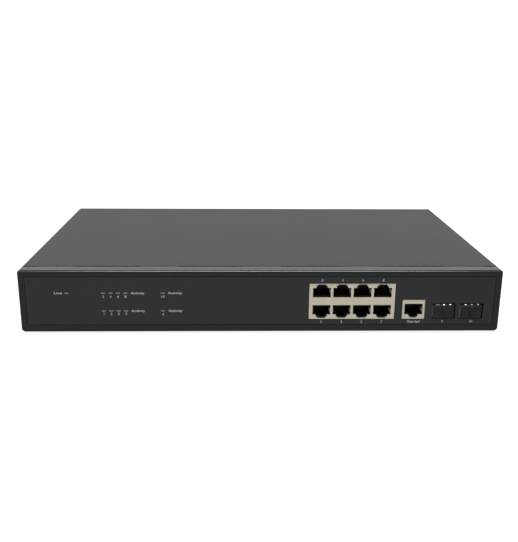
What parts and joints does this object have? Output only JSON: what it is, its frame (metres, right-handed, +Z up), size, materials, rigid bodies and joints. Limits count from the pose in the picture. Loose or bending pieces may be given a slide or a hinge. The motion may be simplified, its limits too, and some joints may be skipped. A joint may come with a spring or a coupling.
{
  "type": "network switch",
  "caption": "Flat 13-inch-wide network switch: plastic front with stacked copper jacks, a serial jack and two plugged optic slots, steel cover over tray, rear mains inlet and rocker.",
  "frame": {"origin": "centre of the overall length and width, at the underside of the rubber feet", "axes": "+Z up, -Y out of the front with the jacks, +X to the right seen from the front"},
  "size_m": [0.331, 0.2096, 0.046],
  "materials": {
    "front_plastic": "moulded, fine grain, satin",
    "front_film": "matt printed film",
    "tray_steel": "zinc coated steel sheet",
    "cover_coat": "fine-texture powder coat",
    "rubber": "matt",
    "dark_screw": "black zinc",
    "zinc_steel": "bright zinc",
    "board_green": "solder mask over glass fibre",
    "board_tan": "bare laminate",
    "clear_film": "thin polyester sheet",
    "chip_black": "moulded epoxy",
    "sink_aluminium": "extruded, plain",
    "can_metal": "drawn can",
    "capacitor_sleeve": "shrink sleeve",
    "ferrite": "fired ferrite",
    "jack_plastic": "moulded",
    "jack_tin": "satin tin plate",
    "gold_contact": "gold flash",
    "cage_tin": "tin plate",
    "spring_steel": "bright spring strip",
    "plug_plastic": "matt moulded",
    "light_guide": "frosted clear acrylic",
    "diode_body": "white package",
    "winding_tape": "yellow polyester tape",
    "choke_body": "moulded",
    "terminal_plastic": "natural nylon",
    "inlet_plastic": "moulded, satin",
    "blade_brass": "nickel plated",
    "rocker_plastic": "moulded, semi gloss",
    "lead_black": "extruded insulation",
    "lead_green": "extruded insulation",
    "lead_red": "extruded insulation",
    "legend_ink": "pale grey screen ink"
  },
  "bodies": {
    "case": {"front_bezel": "front_plastic", "front_label": "front_film", "chassis_tray": "tray_steel", "top_cover": "cover_coat", "rubber_feet": "rubber", "cover_screws": "dark_screw", "clinch_nuts": "zinc_steel", "bezel_screws": "zinc_steel", "main_board": "board_green", "power_board": "board_tan", "board_posts": "zinc_steel", "board_screws": "zinc_steel", "insulator_sheet": "clear_film", "switch_chip": "chip_black", "heat_sink": "sink_aluminium", "memory_chips": "chip_black", "clock_crystals": "can_metal", "small_capacitors": "capacitor_sleeve", "board_inductors": "ferrite", "port_block_housing": "jack_plastic", "port_block_shield": "jack_tin", "serial_jack_housing": "jack_plastic", "serial_jack_shield": "jack_tin", "contact_wires": "gold_contact", "optic_cage_a": "cage_tin", "optic_cage_b": "cage_tin", "spring_collar_a": "spring_steel", "spring_collar_b": "spring_steel", "optic_socket_a": "jack_plastic", "optic_socket_b": "jack_plastic", "port_light_guide": "light_guide", "slot_light_guide": "light_guide", "power_light_guide": "light_guide", "status_diodes": "diode_body", "transformer_core": "ferrite", "transformer_winding": "winding_tape", "bulk_capacitor": "capacitor_sleeve", "line_choke": "choke_body", "suppressor_capacitor": "choke_body", "power_heat_sink": "sink_aluminium", "power_transistor": "chip_black", "fuse": "can_metal", "mains_terminal": "terminal_plastic", "supply_terminals": "terminal_plastic", "inlet_housing": "inlet_plastic", "inlet_blades": "blade_brass", "inlet_screws": "dark_screw", "inlet_nuts": "zinc_steel", "switch_frame": "inlet_plastic", "switch_terminals": "blade_brass", "earth_screw": "zinc_steel", "earth_washer": "zinc_steel", "mains_leads": "lead_black", "earth_lead": "lead_green", "supply_leads": "lead_red"},
    "plug_a": {"dust_plug_a": "plug_plastic"},
    "plug_b": {"dust_plug_b": "plug_plastic"},
    "rocker": {"switch_rocker": "rocker_plastic"}
  },
  "joints": [
    {"name": "plug_a_pull", "type": "slide", "parent": "case", "child": "plug_a", "axis": [0, -1, 0], "range_m": [0, 0.02]},
    {"name": "plug_b_pull", "type": "slide", "parent": "case", "child": "plug_b", "axis": [0, -1, 0], "range_m": [0, 0.02]},
    {"name": "rocker_tilt", "type": "hinge", "parent": "case", "child": "rocker", "pos_m": [-0.072, 0.10018, 0.0198], "axis": [1, 0, 0], "range_deg": [0, 20]}
  ]
}
